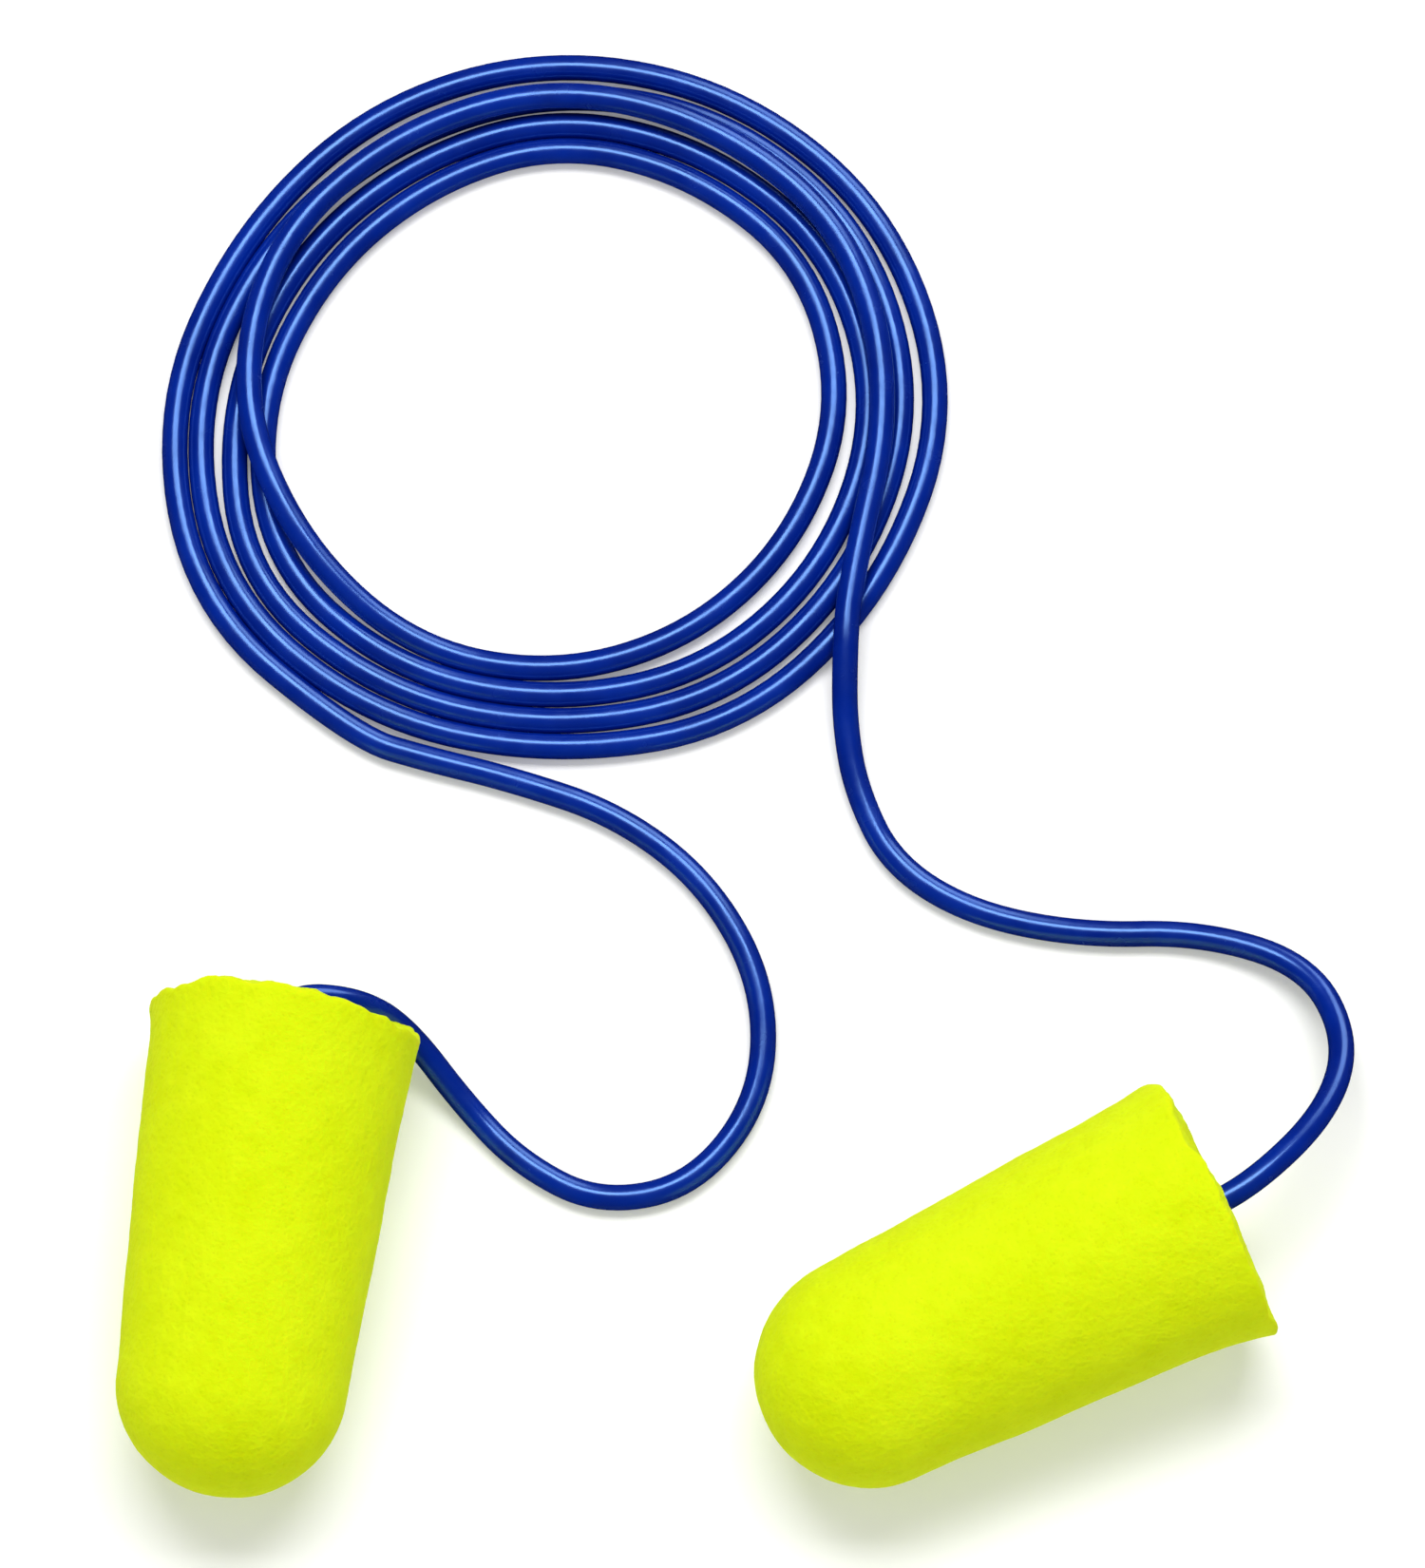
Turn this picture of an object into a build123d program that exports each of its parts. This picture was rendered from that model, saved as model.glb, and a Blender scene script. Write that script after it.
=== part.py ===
"""Corded foam ear plugs: two tapered foam plugs on one coiled vinyl cord, laid out on a surface.

Millimetres. +Z is up and z = 0 is the surface that everything lies on. The origin is below the middle
of the two plugs. Each plug lies on its tapered flank, and the cord leaves the middle of its wide end.
"""

from build123d import *
from math import acos, atan2, cos, hypot, pi, radians, sin, tan
import os

os.makedirs("parts", exist_ok=True)

# ---- Foam plug ----
BASE_RADIUS = 6.45
NOSE_RADIUS = 5.5
NOSE_CENTRE = 18.2  # from the rim of the wide end to the centre of the round nose
BASE_CROWN = 0.4  # how far the wide end bulges at its middle
RIM_RADIUS = 0.35
LEFT_BASE = (-19.4, 11.27)  # middle of the wide end, seen from above
LEFT_HEADING = 261.9  # degrees from +X to the nose
RIGHT_BASE = (24.7, 1.7)
RIGHT_HEADING = 205.8

# ---- Cord and its socket ----
CORD_RADIUS = 0.625
SOCKET_RADIUS = 0.95
SOCKET_DEPTH = 8.0
MOUTH_RADIUS = 1.6  # of the funnel that the cord comes out of
MOUTH_ANGLE = 60
BOND_START = 0.75  # depth at which the adhesive begins
CORD_DEPTH = 7.2  # of cord inside the foam
BEND_DEPTH = 1.6  # from here on the cord in the foam is straight
PIVOT_GAP = 0.45  # from a pivot to the end of the cord on each side of it
JOIN_SHARE = 0.45  # of the shorter run that a bend takes up

# ---- Coil ----
COIL_CENTRE = (-6.8, 41.9)
COIL_HEIGHT = 2.6  # two layers of cord, a little slack
# Radius of the cord's centre line in the outermost and innermost turns, every 45 degrees from +X
OUTER_TURN = (18.5, 17.7, 16.8, 16.8, 18.4, 19.2, 16.9, 17.8)
INNER_TURN = (13.5, 13.3, 12.8, 12.5, 13.9, 13.6, 12.9, 12.8)

# ---- Cord's route from the coil to each plug's pivot, and its tail from there to the wide end ----
FLOOR = CORD_RADIUS
CROSSING = 3 * CORD_RADIUS  # height of the cord where it lies on another turn
LEFT_ROUTE = [
    (-15.9, 26.3, FLOOR),
    (-13.2, 24.4, FLOOR),
    (-9.0, 23.3, FLOOR),
    (-3.8, 21.6, FLOOR),
    (0.5, 18.3, FLOOR),
    (3.3, 13.3, FLOOR),
    (3.2, 7.8, FLOOR),
    (0.0, 3.6, FLOOR),
    (-4.6, 2.7, FLOOR),
    (-8.4, 4.7, FLOOR),
    (-10.8, 7.5, FLOOR + 0.1),
]
LEFT_TAIL = [(-13.0, 11.4, 3.0), (-15.9, 12.3, 5.3)]
LEFT_EXIT = 1.05  # from the rim's plane to where the cord folds over towards the rim
RIGHT_ROUTE = [
    (7.45, 32.5, CROSSING),
    (7.35, 29.2, CROSSING),
    (7.4, 26.0, 1.0),
    (7.9, 22.9, FLOOR),
    (9.6, 19.3, FLOOR),
    (13.3, 16.9, FLOOR),
    (18.6, 15.8, FLOOR),
    (24.4, 15.75, FLOOR),
    (29.3, 13.95, FLOOR + 0.1),
    (31.2, 10.3, 1.9),
    (30.5, 6.1, 4.6),
]
RIGHT_TAIL = []
RIGHT_EXIT = 2.0

TAPER = acos(NOSE_RADIUS / hypot(BASE_RADIUS, NOSE_CENTRE)) - atan2(NOSE_CENTRE, BASE_RADIUS)


def plug_frame(base, heading):
    """Plane of a plug's long section: origin at the rim's middle, x to the nose, y up the wide end."""
    across = radians(heading)
    nose = (cos(TAPER) * cos(across), cos(TAPER) * sin(across), -sin(TAPER))
    sideways = (sin(across), -cos(across), 0)
    origin = (base[0], base[1], BASE_RADIUS * cos(TAPER))
    return Plane(origin=origin, x_dir=nose, z_dir=sideways)


def is_rim(edge):
    """True for the circle where a plug's flank meets its wide end."""
    return abs(edge.radius - BASE_RADIUS) < 0.01


def bend_radii(points):
    """Radius at each inner point of a route: as large as its two runs allow."""
    radii = []
    for before, here, after in zip(points, points[1:], points[2:]):
        arriving = here - before
        leaving = after - here
        half_turn = radians(arriving.get_angle(leaving)) / 2
        radii.append(JOIN_SHARE * min(arriving.length, leaving.length) / tan(half_turn))
    return radii


def report_run(solid, edges, radii):
    """Print a cord run's bends, and its volume against its section times the length of its route."""
    length = sum(edge.length for edge in edges)
    swept = pi * CORD_RADIUS**2 * length
    print(solid.label, "radii", [round(radius, 1) for radius in radii])
    print(solid.label, "route", round(length, 2), "volume ratio", round(solid.volume / swept, 4))


def turn_points(radii, grow):
    """Points round the coil at every 45 degrees, moved outwards from a turn's centre line by grow."""
    step = 2 * pi / len(radii)
    return [
        (
            COIL_CENTRE[0] + (radius + grow) * cos(place * step),
            COIL_CENTRE[1] + (radius + grow) * sin(place * step),
        )
        for place, radius in enumerate(radii)
    ]


left_frame = plug_frame(LEFT_BASE, LEFT_HEADING)
right_frame = plug_frame(RIGHT_BASE, RIGHT_HEADING)

# ---- Foam plugs: a revolved taper with a round nose, a crowned wide end and a blind socket ----
flank_start = (0, BASE_RADIUS)
flank_end = (NOSE_CENTRE + NOSE_RADIUS * sin(TAPER), NOSE_RADIUS * cos(TAPER))
nose_angle = 45
nose_middle = (
    NOSE_CENTRE + NOSE_RADIUS * cos(radians(nose_angle)),
    NOSE_RADIUS * sin(radians(nose_angle)),
)
nose_tip = (NOSE_CENTRE + NOSE_RADIUS, 0)
crown_radius = (BASE_RADIUS**2 + BASE_CROWN**2) / (2 * BASE_CROWN)

plugs = {}
for side, frame in (("left", left_frame), ("right", right_frame)):
    plug_axis = Axis(frame.origin, frame.x_dir)
    with BuildPart() as foam_plug:
        with BuildSketch(frame):
            with BuildLine():
                Line((-BASE_CROWN, 0), nose_tip)
                ThreePointArc(nose_tip, nose_middle, flank_end)
                Line(flank_end, flank_start)
                RadiusArc(flank_start, (-BASE_CROWN, 0), -crown_radius)
            make_face()
        revolve(axis=plug_axis)
        rim = foam_plug.edges().filter_by(GeomType.CIRCLE).filter_by(is_rim)
        fillet(rim, RIM_RADIUS)
        with Locations(Plane(frame.origin - frame.x_dir * BASE_CROWN, z_dir=-frame.x_dir)):
            CounterSinkHole(
                SOCKET_RADIUS, MOUTH_RADIUS, SOCKET_DEPTH + BASE_CROWN, counter_sink_angle=MOUTH_ANGLE
            )
    foam_plug.part.label = f"{side}_foam_plug"
    export_step(foam_plug.part, f"parts/{side}_foam_plug.step")
    plugs[side] = foam_plug.part

# ---- Glue bonds: the cured adhesive between the cord's end and its socket ----
for side, frame in (("left", left_frame), ("right", right_frame)):
    with BuildPart() as glue_bond:
        with BuildSketch(frame):
            with BuildLine():
                Polyline(
                    (BOND_START, CORD_RADIUS),
                    (BOND_START, SOCKET_RADIUS),
                    (SOCKET_DEPTH, SOCKET_RADIUS),
                    (SOCKET_DEPTH, 0),
                    (CORD_DEPTH, 0),
                    (CORD_DEPTH, CORD_RADIUS),
                    close=True,
                )
            make_face()
        revolve(axis=Axis(frame.origin, frame.x_dir))
    glue_bond.part.label = f"{side}_glue_bond"
    export_step(glue_bond.part, f"parts/{side}_glue_bond.step")

# ---- Cord: an end fixed in each plug, and a lead from there to the coil ----
for side, frame, route, tail, exit_reach in (
    ("left", left_frame, LEFT_ROUTE, LEFT_TAIL, LEFT_EXIT),
    ("right", right_frame, RIGHT_ROUTE, RIGHT_TAIL, RIGHT_EXIT),
):
    whole_route = [Vector(point) for point in route + tail]
    whole_route.append(frame.origin - frame.x_dir * exit_reach)
    whole_route.append(frame.origin + frame.x_dir * BEND_DEPTH)
    radii = bend_radii(whole_route)
    before, after = whole_route[len(route) - 1 : len(route) + 1]
    pivot = (before + after) / 2
    gap = (after - before).normalized() * PIVOT_GAP
    print(side, "pivot", [round(value, 2) for value in pivot])

    lead_points = whole_route[: len(route)] + [pivot - gap]
    lead_radii = radii[: len(route) - 1]
    with BuildPart() as cord_lead:
        with BuildLine() as lead_line:
            FilletPolyline(*lead_points, radius=lead_radii)
        with BuildSketch(Plane(lead_line.line @ 0, z_dir=lead_line.line % 0)):
            Circle(CORD_RADIUS)
        sweep()
    cord_lead.part.label = f"cord_{side}_lead"
    export_step(cord_lead.part, f"parts/cord_{side}_lead.step")
    report_run(cord_lead.part, lead_line.edges(), lead_radii)

    stub_points = [pivot + gap] + whole_route[len(route) :]
    stub_radii = radii[len(route) - 1 :]
    with BuildPart() as cord_stub:
        with BuildLine() as stub_line:
            FilletPolyline(*stub_points, radius=stub_radii)
        with BuildSketch(Plane(stub_line.line @ 1, z_dir=stub_line.line % 1)) as stub_section:
            Circle(CORD_RADIUS)
        sweep()
        extrude(stub_section.sketch, amount=CORD_DEPTH - BEND_DEPTH)
    cord_stub.part.label = f"{side}_cord_stub"
    export_step(cord_stub.part, f"parts/{side}_cord_stub.step")
    report_run(cord_stub.part, stub_line.edges(), stub_radii)

# ---- Coil: one closed ring that all the turns lie in ----
with BuildPart() as cord_coil:
    with BuildSketch():
        with BuildLine():
            Spline(*turn_points(OUTER_TURN, CORD_RADIUS), periodic=True)
        make_face()
        with BuildLine():
            Spline(*turn_points(INNER_TURN, -CORD_RADIUS), periodic=True)
        make_face(mode=Mode.SUBTRACT)
    extrude(amount=COIL_HEIGHT)
cord_coil.part.label = "cord_coil"
export_step(cord_coil.part, "parts/cord_coil.step")

both_plugs = Compound(children=list(plugs.values())).bounding_box()
print("plugs low", both_plugs.min, "high", both_plugs.max)
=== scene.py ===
"""Corded foam ear plugs: the looks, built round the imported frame.

Metres throughout, except where a comment says mm: those values are multiplied by MM where they are used.
"""

import bmesh
import bpy
import math
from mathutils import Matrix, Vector, kdtree, noise


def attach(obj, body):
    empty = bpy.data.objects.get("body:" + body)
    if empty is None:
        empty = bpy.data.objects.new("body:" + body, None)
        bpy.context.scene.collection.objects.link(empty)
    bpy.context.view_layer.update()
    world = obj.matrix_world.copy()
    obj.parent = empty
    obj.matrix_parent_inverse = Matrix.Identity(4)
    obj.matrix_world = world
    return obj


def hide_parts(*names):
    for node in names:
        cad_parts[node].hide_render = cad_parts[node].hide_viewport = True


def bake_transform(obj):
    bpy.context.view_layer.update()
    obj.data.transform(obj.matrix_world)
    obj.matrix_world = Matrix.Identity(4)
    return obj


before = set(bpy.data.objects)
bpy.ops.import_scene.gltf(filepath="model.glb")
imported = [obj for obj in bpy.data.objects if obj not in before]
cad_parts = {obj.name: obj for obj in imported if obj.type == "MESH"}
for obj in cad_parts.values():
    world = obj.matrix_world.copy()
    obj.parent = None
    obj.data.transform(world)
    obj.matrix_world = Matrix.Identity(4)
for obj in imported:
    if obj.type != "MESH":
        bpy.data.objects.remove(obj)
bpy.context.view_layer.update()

MM = 0.001

# ---- Cord: its route from the coil to each plug, in mm. It is part.py's route, moved a little,
# and it lies closer to the left plug's soft face than the CAD tube does. ----
CORD_DIAMETER = 1.25 * MM
FLOOR = CORD_DIAMETER / 2 / MM  # height of the cord's centre line where it lies on the surface
CROSSING = 3 * FLOOR  # and where it lies on another turn
LEFT_ROUTE = [
    (-16.4, 25.4, FLOOR),
    (-12.9, 24.35, FLOOR),
    (-9.0, 23.4, FLOOR),
    (-3.75, 21.65, FLOOR),
    (0.6, 18.3, FLOOR),
    (3.35, 13.3, FLOOR),
    (3.25, 7.8, FLOOR),
    (0.0, 3.5, FLOOR),
    (-4.6, 2.6, FLOOR),
    (-8.4, 4.6, FLOOR),
    (-11.05, 7.4, FLOOR + 0.1),
    (-13.75, 10.75, 2.4),
    (-15.95, 11.75, 5.1),
]
RIGHT_ROUTE = [
    (7.45, 32.5, CROSSING),
    (7.25, 29.2, CROSSING),
    (7.25, 26.0, 1.0),
    (7.8, 22.8, FLOOR),
    (9.5, 19.2, FLOOR),
    (13.25, 16.8, FLOOR),
    (18.6, 15.7, FLOOR),
    (24.4, 15.85, FLOOR),
    (29.5, 14.1, 1.5),
    (31.3, 10.15, 3.3),
    (30.2, 6.35, 5.1),
]
TAIL_RUN = 9  # the run of a route where its tail starts, halfway along
LEFT_EXIT = 0.5 * MM  # from the rim's plane to the last point outside the plug
RIGHT_EXIT = 2.0 * MM
BEND_DEPTH = 1.6 * MM  # from here on the cord in the foam is straight
CORD_DEPTH = 7.2 * MM  # of cord inside the foam
CURVE_STEPS = 10  # of each of a curve's spans
ROUND_STEPS = 10  # which give the cord's section 4 + 2 * 10 sides

# ---- Coil: radius of each turn, in mm, at the hours of a clock face, from 8 o'clock on ----
COIL_CENTRE = Vector((-6.8, 41.9)) * MM
TURNS = [
    (19.38, 18.38, 16.88, 16.65, 16.8, 17.3, 18.15, 18.6, 17.8, 17.7, 16.75, 17.3),
    (18.12, 17.09, 15.68, 14.95, 15.25, 16.0, 16.75, 16.9, 16.35, 16.15, 15.53, 16.0),
    (16.85, 15.3, 14.1, 13.55, 13.95, 14.2, 15.05, 15.3, 14.95, 14.7, 14.27, 14.74),
    (15.3, 13.98, 12.7, 12.25, 12.7, 12.9, 13.7, 13.6, 13.0, 12.82, 13.02, 13.48),
]
TOP_TURN = (13.85, 14.85, 15.25, 14.85, 15.15, 15.3, 16.05, 15.85)  # lies across the turns below it
HOUR = 30  # degrees
FIRST_HOUR = 210  # degrees from +X to 8 o'clock
CURVE_INSET = 0.966  # a quadratic spline lies this far inside points an hour apart

# ---- Foam plug: part.py's sizes, with a sharper rim, because the foam is cut there ----
BASE_RADIUS = 6.45 * MM
NOSE_RADIUS = 5.5 * MM
NOSE_CENTRE = 18.2 * MM  # from the rim of the wide end to the centre of the round nose
BASE_CROWN = 0.4 * MM  # how far the wide end bulges at its middle
RIM_RADIUS = 0.22 * MM
SOCKET_RADIUS = 0.95 * MM
SOCKET_DEPTH = 8.0 * MM
MOUTH_RADIUS = 1.6 * MM  # of the funnel that the cord comes out of
MOUTH_DEPTH = 0.73 * MM
TAPER = math.acos(NOSE_RADIUS / math.hypot(BASE_RADIUS, NOSE_CENTRE)) - math.atan2(NOSE_CENTRE, BASE_RADIUS)
LEFT_BASE = Vector((-19.4, 11.27, 0)) * MM  # middle of the wide end, seen from above
LEFT_HEADING = 261.9  # degrees from +X to the nose
RIGHT_BASE = Vector((24.7, 1.7, 0)) * MM
RIGHT_HEADING = 205.8
RING_STEP = 0.22 * MM  # between the foam's rings of vertices
SEGMENTS = 200  # of each ring
TIP_RADIUS = 0.02 * MM  # of the ring that closes the socket's bottom
NOSE_GAP = 0.004  # radians from the nose's tip to the last ring
# How deep the uneven cut of the wide end goes below its true plane, in mm, at every 30 degrees round
# the rim, from the right-hand side as one looks towards the nose, over the top
LEFT_CUT = (0.95, 0.5, -0.2, -0.15, 0.1, 0.7, 0.8, -0.1, 0.15, 0.0, -0.2, 0.1)
RIGHT_CUT = (0.85, -0.1, 0.2, -0.15, 0.0, 0.05, 0.0, 0.05, -0.1, 0.15, 0.0, 0.3)
CUT_DEPTH = 2.2 * MM  # from the wide end, how far down the flank the uneven cut shows
CUT_FADE = 3.0 * MM  # from the funnel's edge outwards, where the uneven cut grows to its full depth
# How far the cut end stands out round its rim, in mm, at the same places
LEFT_FLARE = (0.1,) * 12
RIGHT_FLARE = (0.05, 0.1, 0.1, 0.1, 0.1, 0.25, 0.5, 0.3, 0.1, 0.1, 0.1, 0.1)
FLARE_DEPTH = 5.0 * MM  # from the wide end, how far down the flank it reaches
# Unevenness of the foam: pairs of a height in mm and how many times it changes in a mm
WAVES = ((0.09, 0.22), (0.03, 0.8))
GRAIN = ((0.012, 3.0), (0.008, 6.5))
CRUMBS = ((0.2, 1.1), (0.06, 3.1))  # along the cut end
LEFT_SEED = 3.7
RIGHT_SEED = 41.2
DENT_GAP = 0.04 * MM  # between the cord and the foam that it dents
DENT_DEPTH = 1.73 * MM  # from the wide end, how far in the cord dents the foam

# ---- Camera ----
VIEW_ELEVATION = 79  # degrees
VIEW_DISTANCE = 0.6
VIEW_TARGET = Vector((0.86, 23.25, 0)) * MM
LENS_MM = 285


def make_camera():
    """A long lens high over the near side of the part."""
    data = bpy.data.cameras.new("camera")
    data.lens = LENS_MM
    camera = bpy.data.objects.new("camera", data)
    bpy.context.scene.collection.objects.link(camera)
    rise = math.radians(VIEW_ELEVATION)
    camera.location = VIEW_TARGET + VIEW_DISTANCE * Vector((0, -math.cos(rise), math.sin(rise)))
    camera.rotation_euler = (math.pi / 2 - rise, 0, 0)
    bpy.context.scene.camera = camera


make_camera()


# ================================ Materials ================================
class Nodes:
    """A material's node tree, with short calls to add and join nodes.

    A noise's scale is how many times it changes in a metre, and a bump's distance is in metres.
    """

    def __init__(self, name):
        self.material = bpy.data.materials.new(name)
        self.material.use_nodes = True
        self.tree = self.material.node_tree
        self.shader = self.tree.nodes["Principled BSDF"]
        self.place = self.add("ShaderNodeTexCoord").outputs["Object"]

    def add(self, kind, inputs=None, **settings):
        node = self.tree.nodes.new(kind)
        for key, value in settings.items():
            setattr(node, key, value)
        for key, value in (inputs or {}).items():
            if isinstance(value, bpy.types.NodeSocket):
                self.tree.links.new(value, node.inputs[key])
            else:
                node.inputs[key].default_value = value
        return node

    def noise(self, scale, detail=3.0, rough=0.5):
        return self.add(
            "ShaderNodeTexNoise",
            {"Vector": self.place, "Scale": scale, "Detail": detail, "Roughness": rough},
        ).outputs["Fac"]

    def math(self, operation, first, second):
        return self.add("ShaderNodeMath", {0: first, 1: second}, operation=operation).outputs[0]

    def ramp(self, factor, stops):
        node = self.add("ShaderNodeValToRGB", {"Fac": factor})
        elements = node.color_ramp.elements
        while len(elements) < len(stops):
            elements.new(0.5)
        for element, (place, colour) in zip(elements, stops):
            element.position = place
            element.color = (*colour, 1)
        return node.outputs["Color"]

    def multiply(self, first, second, factor=1.0):
        node = self.add("ShaderNodeMix", data_type="RGBA", blend_type="MULTIPLY")
        node.inputs[0].default_value = factor
        self.tree.links.new(first, node.inputs[6])
        self.tree.links.new(second, node.inputs[7])
        return node.outputs[2]

    def set(self, **values):
        for key, value in values.items():
            self.shader.inputs[key.replace("_", " ")].default_value = value

    def join(self, output, socket):
        self.tree.links.new(output, self.shader.inputs[socket])

    def bump(self, height, distance, strength=1.0, normal=None):
        inputs = {"Height": height, "Distance": distance, "Strength": strength}
        if normal:
            inputs["Normal"] = normal
        return self.add("ShaderNodeBump", inputs).outputs["Normal"]


def grey(value):
    return (value, value, value)


def foam_material():
    """Slow-recovery foam in a fluorescent yellow-green: a matte skin of fine open cells, with painted shade
    in its pores and a faint painted glow.
    """
    nodes = Nodes("foam")
    mottle = nodes.noise(900.0, detail=6.0, rough=0.65)
    patch = nodes.noise(170.0)
    grain = nodes.noise(5200.0, detail=4.0, rough=0.7)
    cells = nodes.add("ShaderNodeTexVoronoi", {"Vector": nodes.place, "Scale": 3400.0}).outputs["Distance"]
    blend = nodes.math("MULTIPLY", nodes.math("ADD", mottle, patch), 0.5)
    tone = nodes.ramp(
        blend,
        [(0.36, (0.60, 0.735, 0.0)), (0.5, (0.63, 0.77, 0.002)), (0.64, (0.66, 0.805, 0.004))],
    )
    # The colour darkens a little round the centre of each cell: painted shade in the foam's open pores.
    pore_shade = nodes.ramp(cells, [(0.06, grey(0.85)), (0.3, grey(1.0))])
    colour = nodes.multiply(tone, pore_shade, 0.45)
    nodes.join(colour, "Base Color")
    # The foam glows faintly in its own colour: painted light, which stands in for its fluorescence and lifts
    # its shaded sides.
    nodes.join(colour, "Emission Color")
    nodes.set(Emission_Strength=0.07, Roughness=0.92, Subsurface_Weight=0.25, Subsurface_Scale=0.0006)
    nodes.set(Specular_IOR_Level=0.1)
    soft = nodes.bump(mottle, 0.00025, 0.5)
    fine = nodes.bump(grain, 0.00006, 0.6, soft)
    nodes.join(nodes.bump(cells, 0.00005, 0.6, fine), "Normal")
    return nodes.material


def cord_material():
    """Glossy blue vinyl, extruded: a smooth, faintly uneven skin with small changes in gloss."""
    nodes = Nodes("cord_vinyl")
    cloud = nodes.noise(260.0, detail=4.0)
    skin = nodes.noise(900.0, detail=2.0)
    tone = nodes.ramp(cloud, [(0.35, (0.0, 0.011, 0.21)), (0.65, (0.0, 0.018, 0.29))])
    nodes.join(tone, "Base Color")
    gloss = nodes.ramp(skin, [(0.3, grey(0.2)), (0.7, grey(0.28))])
    nodes.join(gloss, "Roughness")
    nodes.set(IOR=1.6, Specular_IOR_Level=1.0, Specular_Tint=(0.25, 0.5, 1.0, 1.0))
    slow = nodes.bump(cloud, 0.00006, 0.35)
    nodes.join(nodes.bump(skin, 0.00002, 0.3, slow), "Normal")
    return nodes.material


def glue_material():
    """Cured adhesive: cloudy, faintly amber, with a wet-looking skin."""
    nodes = Nodes("glue")
    cloud = nodes.noise(900.0, detail=4.0)
    nodes.join(nodes.ramp(cloud, [(0.3, (0.62, 0.58, 0.40)), (0.7, (0.86, 0.83, 0.66))]), "Base Color")
    nodes.set(Roughness=0.35, Subsurface_Weight=0.3, Subsurface_Scale=0.0004)
    nodes.join(nodes.bump(cloud, 0.00008, 0.6), "Normal")
    return nodes.material


def floor_material():
    """Matt off-white, with a faint glow that keeps the narrow gaps between turns light."""
    nodes = Nodes("floor")
    nodes.join(nodes.ramp(nodes.noise(40.0), [(0.3, grey(0.82)), (0.7, grey(0.84))]), "Base Color")
    nodes.set(Roughness=0.9, Specular_IOR_Level=0.1, Emission_Color=(1, 1, 1, 1), Emission_Strength=0.2)
    return nodes.material


foam = foam_material()
vinyl = cord_material()
glue = glue_material()


# ================================ Cord ================================
def plug_axes(base, heading):
    """The middle of a plug's rim, and unit vectors towards the nose, sideways and up the wide end."""
    across = math.radians(heading)
    nose = Vector((math.cos(TAPER) * math.cos(across), math.cos(TAPER) * math.sin(across), -math.sin(TAPER)))
    sideways = Vector((math.sin(across), -math.cos(across), 0))
    origin = base + Vector((0, 0, BASE_RADIUS * math.cos(TAPER)))
    return origin, nose, sideways, sideways.cross(nose)


def coil_points():
    """The coil's control points, clockwise: its turns on the floor, then the top turn on them."""
    radii = [(radius, FLOOR) for turn in TURNS for radius in turn]
    radii += [(radius, CROSSING) for radius in TOP_TURN]
    points = []
    for hour, (radius, height) in enumerate(radii):
        angle = math.radians(FIRST_HOUR - HOUR * hour)
        reach = radius * MM / CURVE_INSET
        across = COIL_CENTRE + reach * Vector((math.cos(angle), math.sin(angle)))
        points.append(Vector((across.x, across.y, height * MM)))
    return points


def cord_curve(name, points, thick=True):
    """A NURBS curve with these control points; with no thickness it is the bare centre line."""
    data = bpy.data.curves.new(name, "CURVE")
    data.dimensions = "3D"
    data.resolution_u = CURVE_STEPS
    spline = data.splines.new("NURBS")
    spline.points.add(len(points) - 1)
    for slot, point in zip(spline.points, points):
        slot.co = (*point, 1)
    spline.order_u = 3
    spline.use_endpoint_u = True
    if thick:
        data.bevel_depth = CORD_DIAMETER / 2
        data.bevel_resolution = ROUND_STEPS
        data.use_fill_caps = True
    curve = bpy.data.objects.new(name, data)
    bpy.context.scene.collection.objects.link(curve)
    data.materials.append(vinyl)
    return curve


def as_mesh(curve):
    """Turn a curve object into a mesh object of the same name."""
    name = curve.name
    bpy.context.view_layer.update()
    mesh = bpy.data.meshes.new_from_object(curve.evaluated_get(bpy.context.evaluated_depsgraph_get()))
    bpy.data.objects.remove(curve)
    piece = bpy.data.objects.new(name, mesh)
    bpy.context.scene.collection.objects.link(piece)
    for face in mesh.polygons:
        face.use_smooth = True
    return piece


def centre_line(points):
    """Places along the smooth line with these control points."""
    line = as_mesh(cord_curve("line", points, thick=False))
    places = [vert.co.copy() for vert in line.data.vertices]
    bpy.data.objects.remove(line)
    return places


def midpoint(points, index):
    """The middle of a route's run, counted from 0."""
    return (points[index] + points[index + 1]) / 2


left_axes = plug_axes(LEFT_BASE, LEFT_HEADING)
right_axes = plug_axes(RIGHT_BASE, RIGHT_HEADING)
left_points = [Vector(point) * MM for point in LEFT_ROUTE]
left_points += [left_axes[0] + left_axes[1] * depth for depth in (-LEFT_EXIT, BEND_DEPTH, CORD_DEPTH)]
right_points = [Vector(point) * MM for point in RIGHT_ROUTE]
right_points += [right_axes[0] + right_axes[1] * depth for depth in (-RIGHT_EXIT, BEND_DEPTH, CORD_DEPTH)]

# Each tail starts halfway along a run, so that it goes on from the main cord without a kink.
left_start = midpoint(left_points, TAIL_RUN)
right_start = midpoint(right_points, TAIL_RUN)
main_points = [left_start] + left_points[TAIL_RUN::-1] + coil_points()
main_points += right_points[: TAIL_RUN + 1] + [right_start]

main_cord = cord_curve("cord_main", main_points)
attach(main_cord, "cord")
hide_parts("cord_coil", "cord_left_lead", "cord_right_lead")

# Each tail runs from the main cord into its plug; its centre line is kept, for the dents it makes in the
# foam.
tail_lines = {}
for side, start, points in (("left", left_start, left_points), ("right", right_start, right_points)):
    tail_points = [start] + points[TAIL_RUN + 1 :]
    tail_lines[side] = centre_line(tail_points)
    tail = as_mesh(cord_curve(f"cord_{side}_tail", tail_points))
    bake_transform(tail)
    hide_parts(f"{side}_cord_stub")


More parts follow.
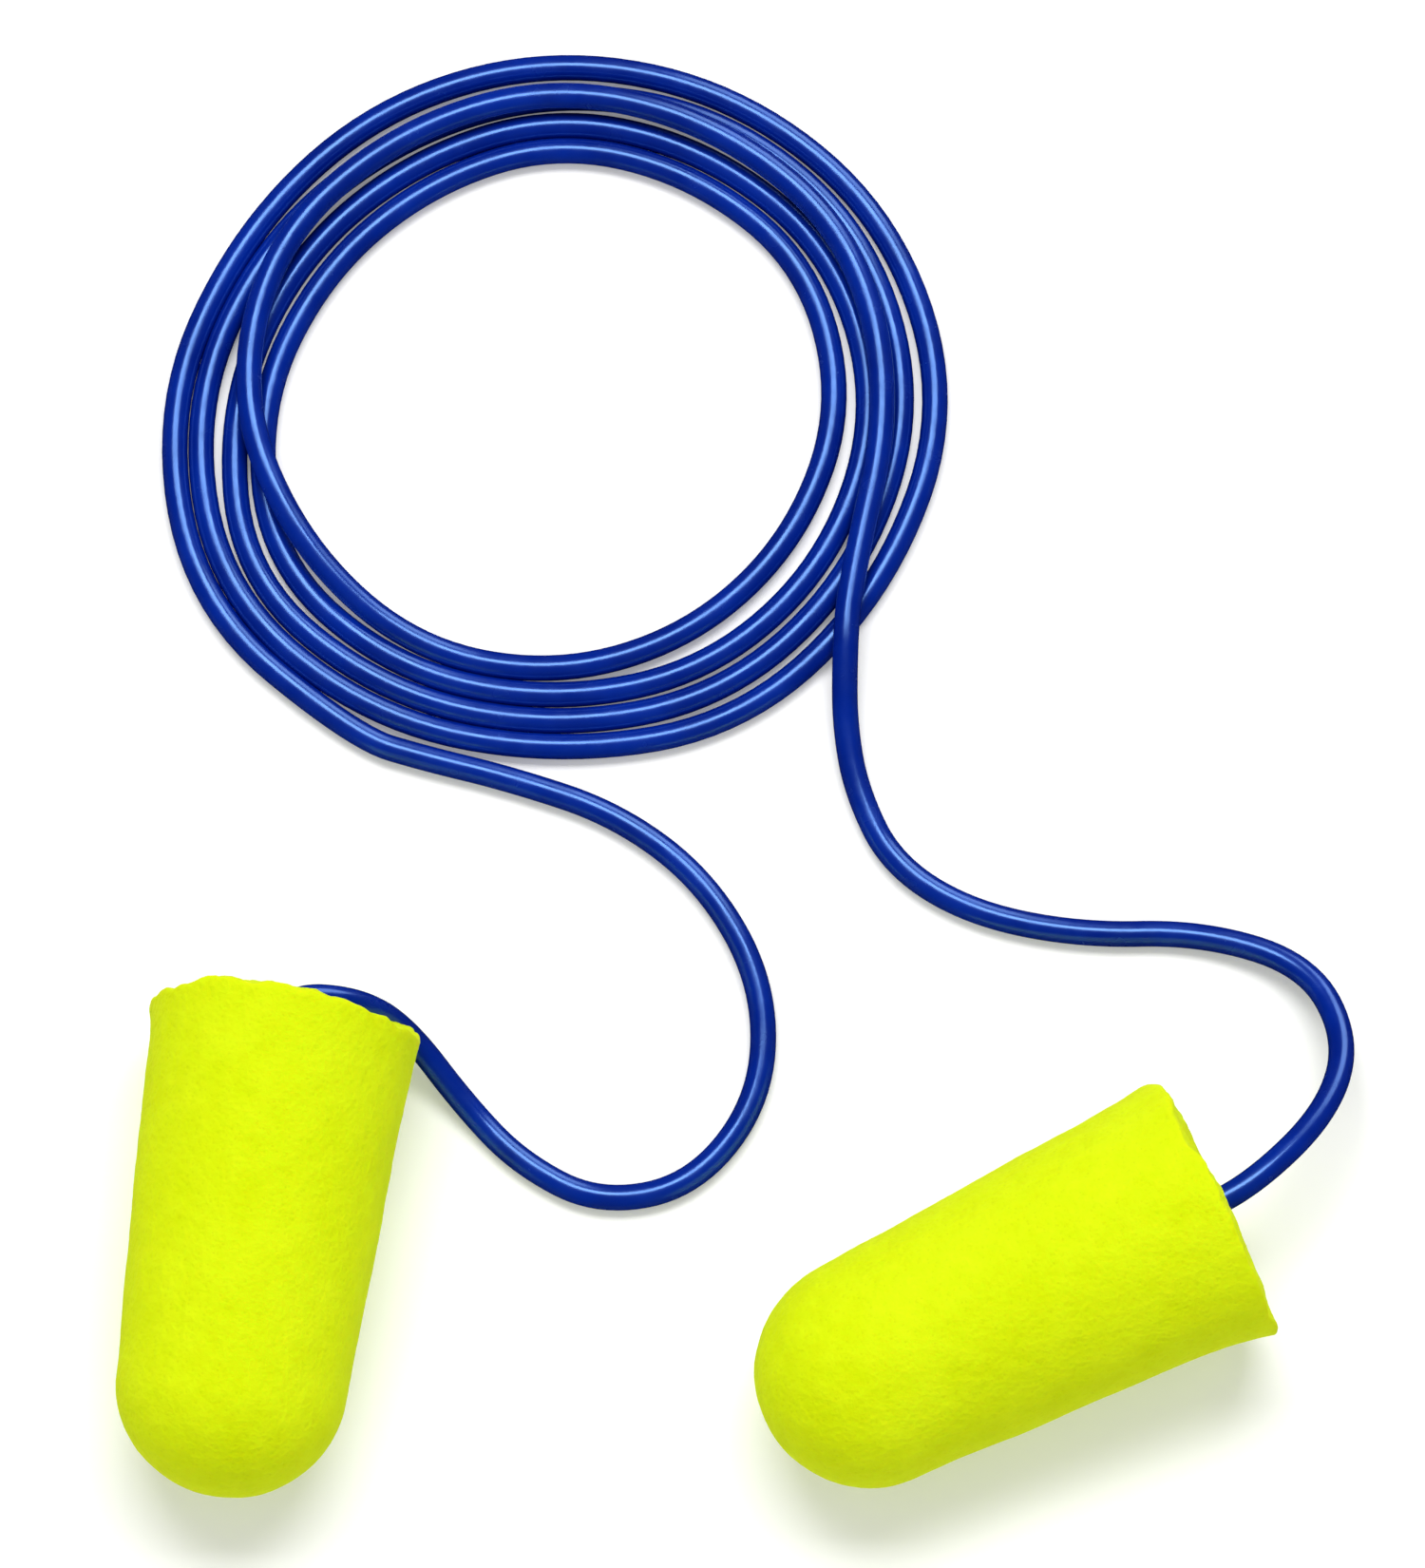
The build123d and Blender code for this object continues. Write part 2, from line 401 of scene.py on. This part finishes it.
# ================================ Foam plugs ================================
def spread(start, end):
    """Even shares from start to end about a ring step apart, without the end."""
    steps = max(2, round((Vector(end) - Vector(start)).length / RING_STEP))
    return [Vector(start).lerp(Vector(end), step / steps) for step in range(steps)]


def arc(centre, radius, first, last):
    """Points about a ring step apart along an arc, from its first angle, without its last."""
    steps = max(3, round(abs(last - first) * radius / RING_STEP))
    turned = [first + (last - first) * step / steps for step in range(steps)]
    return [Vector(centre) + radius * Vector((math.cos(angle), math.sin(angle))) for angle in turned]


def plug_profile():
    """Rings from the bottom of the socket out over the wide end, along the flank and round the nose."""
    crown_radius = (BASE_RADIUS**2 + BASE_CROWN**2) / (2 * BASE_CROWN)
    crown_centre = crown_radius - BASE_CROWN

    def crown(radius):
        """Depth of the wide end's face at a radius, less than nothing where it bulges."""
        return crown_centre - math.sqrt(crown_radius**2 - radius**2)

    rim_inner = BASE_RADIUS - RIM_RADIUS
    rings = spread((SOCKET_DEPTH, TIP_RADIUS), (SOCKET_DEPTH, SOCKET_RADIUS))
    rings += spread((SOCKET_DEPTH, SOCKET_RADIUS), (MOUTH_DEPTH, SOCKET_RADIUS))
    rings += spread((MOUTH_DEPTH, SOCKET_RADIUS), (crown(MOUTH_RADIUS), MOUTH_RADIUS))
    rings += [Vector((crown(point.y), point.y)) for point in spread((0, MOUTH_RADIUS), (0, rim_inner))]
    rings += arc((RIM_RADIUS + crown(rim_inner), rim_inner), RIM_RADIUS, math.pi, math.pi / 2 + TAPER)
    flank_start = rings[-1]
    flank_end = Vector((NOSE_CENTRE + NOSE_RADIUS * math.sin(TAPER), NOSE_RADIUS * math.cos(TAPER)))
    rings += spread(flank_start, flank_end)[1:]
    rings += arc((NOSE_CENTRE, 0), NOSE_RADIUS, math.pi / 2 - TAPER, NOSE_GAP)
    return rings


def round_rim(depths, turn):
    """A cut's depth or flare at a turn round the rim, smoothly between its given values."""
    step = turn / (2 * math.pi) * len(depths)
    index = int(step)
    share = step - index
    share = share * share * (3 - 2 * share)
    return (depths[index % len(depths)] * (1 - share) + depths[(index + 1) % len(depths)] * share) * MM


def rough(place, layers):
    """Unevenness at a place, summed over pairs of a height and how often it changes."""
    return sum(height * noise.noise(place * pace) for height, pace in layers)


def foam_shift(vert, ring, turn, axes, cut, flare, seed):
    """How far the foam stands from its true shape: slow waves, a fine grain and the uneven cut end."""
    origin, nose = axes[:2]
    offset = vert.co - origin
    place = offset / MM + Vector((seed, 0, 0))
    depth = max(ring.x, 0)
    skin = vert.normal * (rough(place, WAVES) + rough(place, GRAIN)) * MM
    outward = (offset - nose * offset.dot(nose)) / BASE_RADIUS
    outward *= round_rim(flare, turn) * max(0, 1 - depth / FLARE_DEPTH) ** 2
    nearness = max(0, 1 - depth / CUT_DEPTH) * min(1, max(0, (ring.y - MOUTH_RADIUS) / CUT_FADE))
    return skin + outward + nose * (round_rim(cut, turn) + rough(place, CRUMBS) * MM) * nearness


def make_plug(name, axes, cut, flare, seed, cord_places):
    """One foam plug: its revolved shape, unevenly cut, dented where the cord presses into it."""
    origin, nose, sideways, up = axes
    rings = plug_profile()
    mesh = bmesh.new()
    rows = []
    for ring in rings:
        row = []
        for segment in range(SEGMENTS):
            turn = 2 * math.pi * segment / SEGMENTS
            radial = sideways * math.cos(turn) + up * math.sin(turn)
            row.append(mesh.verts.new(origin + nose * ring.x + radial * ring.y))
        rows.append(row)
    for low, high in zip(rows, rows[1:]):
        for segment in range(SEGMENTS):
            after = (segment + 1) % SEGMENTS
            mesh.faces.new((low[segment], low[after], high[after], high[segment]))
    mesh.faces.new(rows[0])
    mesh.faces.new(rows[-1][::-1])
    bmesh.ops.recalc_face_normals(mesh, faces=mesh.faces)
    mesh.normal_update()
    tree = kdtree.KDTree(len(cord_places))
    for index, place in enumerate(cord_places):
        tree.insert(place, index)
    tree.balance()
    reach = CORD_DIAMETER / 2 + DENT_GAP
    places = []
    for ring, row in zip(rings, rows):
        for segment, vert in enumerate(row):
            place = vert.co.copy()
            if ring.y >= MOUTH_RADIUS or ring.x > SOCKET_DEPTH:
                place += foam_shift(vert, ring, 2 * math.pi * segment / SEGMENTS, axes, cut, flare, seed)
            if ring.x < DENT_DEPTH:
                nearest, _, distance = tree.find(place)
                if distance < reach:
                    place = nearest + (place - nearest) * reach / distance
            places.append((vert, place))
    for vert, place in places:
        vert.co = (place.x, place.y, max(place.z, 0))
    data = bpy.data.meshes.new(name)
    mesh.to_mesh(data)
    mesh.free()
    for face in data.polygons:
        face.use_smooth = True
    data.materials.append(foam)
    plug = bpy.data.objects.new(name, data)
    bpy.context.scene.collection.objects.link(plug)
    return plug


for side, axes, cut, flare, seed in (
    ("left", left_axes, LEFT_CUT, LEFT_FLARE, LEFT_SEED),
    ("right", right_axes, RIGHT_CUT, RIGHT_FLARE, RIGHT_SEED),
):
    plug = make_plug(f"{side}_foam", axes, cut, flare, seed, tail_lines[side])
    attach(plug, f"{side}_plug")
    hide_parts(f"{side}_foam_plug")
    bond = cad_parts[f"{side}_glue_bond"]
    bond.data.materials.clear()
    bond.data.materials.append(glue)


# ================================ Studio ================================
FLOOR_SIZE = 3.0
WORLD_STRENGTH = 0.3


def make_floor():
    """A plain pale floor, which the glossy cord doesn't mirror."""
    bpy.ops.mesh.primitive_plane_add(size=FLOOR_SIZE)
    floor = bpy.context.active_object
    floor.name = "floor"
    floor.data.materials.append(floor_material())
    floor.visible_glossy = False


def make_light(name, direction, distance, size, energy, glossy=True, diffuse=True):
    """A soft box at a distance in a direction, turned to the part: it can leave out gloss or shading."""
    data = bpy.data.lights.new(name, "AREA")
    data.shape = "RECTANGLE"
    data.size, data.size_y = size
    data.energy = energy
    light = bpy.data.objects.new(name, data)
    bpy.context.scene.collection.objects.link(light)
    offset = Vector(direction).normalized() * distance
    light.location = VIEW_TARGET + offset
    light.rotation_euler = offset.to_track_quat("Z", "Y").to_euler()
    light.visible_glossy = glossy
    light.visible_diffuse = diffuse


def make_world():
    """Even white surroundings, which the glossy cord doesn't mirror."""
    world = bpy.data.worlds.new("studio")
    world.use_nodes = True
    background = world.node_tree.nodes["Background"]
    background.inputs["Color"].default_value = (1, 1, 1, 1)
    background.inputs["Strength"].default_value = WORLD_STRENGTH
    bpy.context.scene.world = world
    world.cycles_visibility.glossy = False


make_floor()
make_light("key", (0, 0.42, 1), 0.6, (0.46, 0.21), 3.3)
make_light("fill", (-0.1, -0.5, 1), 0.9, (1.4, 1.4), 2.95, glossy=False)
make_light("side", (0.45, 0.8, 0.42), 0.6, (0.35, 0.35), 1.6, diffuse=False)
make_world()
bpy.context.scene.view_settings.view_transform = "Standard"  # the default one dulls the fluorescent foam
